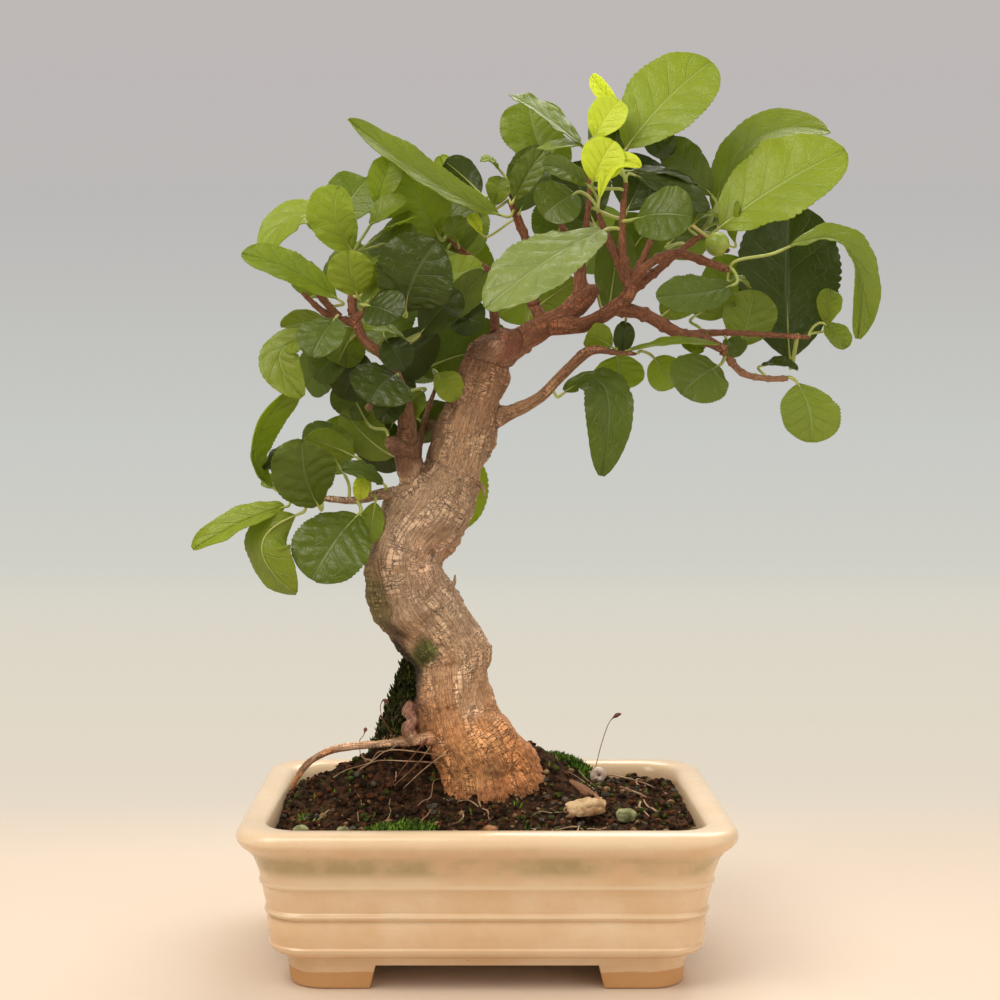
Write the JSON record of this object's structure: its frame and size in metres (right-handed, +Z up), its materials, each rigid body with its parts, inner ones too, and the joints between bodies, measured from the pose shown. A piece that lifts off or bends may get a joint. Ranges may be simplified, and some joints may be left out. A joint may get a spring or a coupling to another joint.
{
  "type": "bonsai tree in a pot",
  "caption": "Small broadleaf bonsai tree with a curved trunk, in a shallow rectangular glazed pot on corner feet.",
  "frame": {"origin": "on the ground under the middle of the whole object's outline", "axes": "+X along the pot's long side to the right seen from the front, +Y to the back, +Z up"},
  "size_m": [0.216, 0.1244, 0.2878],
  "materials": {
    "glaze": "cream satin glaze with paler raised lines, bare clay under the feet",
    "screen": "dark green moulded screen",
    "soil": "dark moist crumbs of soil with bits of bark and moss",
    "bark": "grey-brown plated bark, redder on the branches",
    "leaf": "satin green above, paler and duller below",
    "berry": "smooth unripe yellow-green skin",
    "moss": "short green moss",
    "shell": "thin tan shell, slightly glossy",
    "stone": "worn matte grit",
    "loose_bark": "dry curled bark"
  },
  "bodies": {
    "root": {"pot": "glaze", "drain_screen_left": "screen", "drain_screen_right": "screen", "soil": "soil", "tree_wood": "bark", "moss_cushion_right": "moss", "moss_mat_left": "moss", "moss_mat_back": "moss", "pebble_1": "stone", "pebble_2": "stone", "pebble_3": "stone", "pebble_4": "stone", "snail_shell": "shell", "bark_curl": "loose_bark", "berry": "berry", "leaf_low_left_1": "leaf", "leaf_low_left_2": "leaf", "leaf_low_left_3": "leaf", "leaf_low_left_4": "leaf", "leaf_low_left_5": "leaf", "leaf_low_left_6": "leaf", "leaf_low_left_7": "leaf", "leaf_mid_left_1": "leaf", "leaf_mid_left_2": "leaf", "leaf_mid_left_3": "leaf", "leaf_mid_left_4": "leaf", "leaf_mid_left_5": "leaf", "leaf_mid_left_6": "leaf", "leaf_high_left_1": "leaf", "leaf_high_left_2": "leaf", "leaf_high_left_3": "leaf", "leaf_high_left_4": "leaf", "leaf_high_left_5": "leaf", "leaf_high_left_6": "leaf", "leaf_high_left_7": "leaf", "leaf_high_left_8": "leaf", "leaf_high_left_9": "leaf", "leaf_top_1": "leaf", "leaf_top_2": "leaf", "leaf_top_3": "leaf", "leaf_top_4": "leaf", "leaf_top_5": "leaf", "leaf_top_6": "leaf", "leaf_top_7": "leaf", "leaf_top_8": "leaf", "leaf_top_9": "leaf", "leaf_right_1": "leaf", "leaf_right_2": "leaf", "leaf_right_3": "leaf", "leaf_right_4": "leaf", "leaf_right_5": "leaf", "leaf_right_6": "leaf", "leaf_right_7": "leaf", "leaf_right_8": "leaf", "leaf_right_9": "leaf", "leaf_back_1": "leaf", "leaf_back_2": "leaf", "leaf_back_3": "leaf", "leaf_back_4": "leaf", "leaf_back_5": "leaf"}
  },
  "joints": []
}
